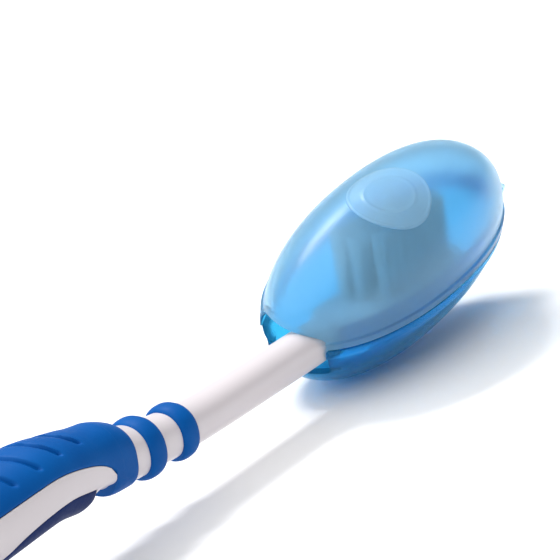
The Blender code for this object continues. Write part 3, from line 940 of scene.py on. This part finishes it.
def make_tufts(nodes):
    """One bundle of filaments in the box of each of the CAD model's tufts."""
    material = nylon()
    for seed, node in enumerate(sorted(n for n in nodes if n.startswith("tuft_"))):
        low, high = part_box(node)
        fill = partial(fill_tuft, low=low, high=high, seed=seed)
        new_piece(f"{node}_bristles", fill, "brush", material, [node])


def make_cover():
    """Dome with its ears, tray with its knuckle and pin, and the pad on the dome."""
    upper = clear_blue("cover_dome", (0.39, 0.68, 0.88), (0.43, 0.72, 0.90), 0.84, 0.295, 0.33)
    # Same clear plastic as the dome, given a deeper tint: painted shade for the lower shell, which lies in
    # shade under the dome.
    tray_with_painted_shade = clear_blue("cover_tray", (0.04, 0.47, 0.80), (0.06, 0.50, 0.83), 0.88, 0.18, 0.23)
    frosted = clear_blue("cover_badge", (0.56, 0.82, 0.97), (0.60, 0.85, 0.98), 0.8, 0.295, 0.33)
    ear = KNUCKLE_HALF + EAR_GAP
    reach = ear + EAR_WIDTH
    dome_adds = []
    for low, high in ((-reach, -ear), (ear, reach)):
        dome_adds.append(partial(hinge_web, side=1, low=low, high=high))
        dome_adds.append(partial(cross_rod, radius=HINGE_RADIUS, low=low, high=high))
    dome_cuts = [partial(cross_rod, radius=HINGE_BORE, low=-2 * reach, high=2 * reach), fill_arch]
    tray_adds = [
        partial(hinge_web, side=-1, low=-KNUCKLE_HALF, high=KNUCKLE_HALF),
        partial(cross_rod, radius=HINGE_RADIUS, low=-KNUCKLE_HALF, high=KNUCKLE_HALF),
        partial(cross_rod, radius=HINGE_PIN, low=-reach, high=reach),
    ]
    joined("dome_shell", fill_dome, dome_adds, dome_cuts, "dome", upper, ["cover_dome"])
    joined("tray_shell", fill_tray, tray_adds, [fill_notch], "tray", tray_with_painted_shade, ["cover_tray"])
    badge = new_piece("dome_badge", fill_badge, None, frosted)
    badge.data.transform(cover_matrix())
    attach(badge, "dome")


# ---------------------------------------------------------------- stage


def fill_floor(bm):
    places = [FLOOR_SIDE * (2 * i / FLOOR_STEPS - 1) for i in range(FLOOR_STEPS + 1)]
    rows = [[bm.verts.new((x, y, FLOOR_LEVEL)) for y in places] for x in places]
    for row, following in zip(rows, rows[1:]):
        for j in range(FLOOR_STEPS):
            bm.faces.new((row[j], following[j], following[j + 1], row[j + 1]))


def make_floor():
    floor = new_piece("floor", fill_floor, None, pale_floor())


def make_camera():
    """Camera at an azimuth round +Z, an elevation above the floor and a roll about its own axis."""
    a, e, r = CAMERA_AZIMUTH, CAMERA_ELEVATION, CAMERA_ROLL
    back = Vector((math.sin(a) * math.cos(e), -math.cos(a) * math.cos(e), math.sin(e)))
    level = Vector((math.cos(a), math.sin(a), 0.0))
    upright = back.cross(level)
    right = level * math.cos(r) + upright * math.sin(r)
    up = upright * math.cos(r) - level * math.sin(r)
    data = bpy.data.cameras.new("camera")
    data.lens = CAMERA_LENS
    data.clip_start = CAMERA_NEAR
    camera = bpy.data.objects.new("camera", data)
    turn = Matrix((right, up, back)).transposed().to_4x4()
    camera.matrix_world = Matrix.Translation(CAMERA_AIM + back * CAMERA_DISTANCE) @ turn
    bpy.context.scene.collection.objects.link(camera)
    bpy.context.scene.camera = camera


def add_light(kind, name, place, aim):
    """Lamp at a place, pointed at its aim."""
    data = bpy.data.lights.new(name, kind)
    lamp = bpy.data.objects.new(name, data)
    lamp.location = place
    lamp.rotation_euler = (Vector(aim) - Vector(place)).to_track_quat("-Z", "Y").to_euler()
    bpy.context.scene.collection.objects.link(lamp)
    return data


def make_light():
    world = bpy.data.worlds.new("studio")
    world.use_nodes = True
    world.node_tree.nodes["Background"].inputs["Color"].default_value = (1.0, 1.0, 1.0, 1.0)
    world.node_tree.nodes["Background"].inputs["Strength"].default_value = WORLD_STRENGTH
    bpy.context.scene.world = world
    sky = add_light("SUN", "overhead", SUN_PLACE, (0.0, 0.0, 0.0))
    sky.energy = SUN_ENERGY
    sky.angle = SUN_ANGLE
    strip = add_light("AREA", "strip", STRIP_PLACE, STRIP_AIM)
    strip.shape = "RECTANGLE"
    strip.size, strip.size_y = STRIP_SIZE
    strip.energy = STRIP_ENERGY
    bpy.context.scene.view_settings.view_transform = "Standard"


def make_scene():
    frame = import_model()
    make_brush()
    make_tufts(frame["nodes"])
    make_cover()
    make_floor()
    make_camera()
    make_light()


make_scene()
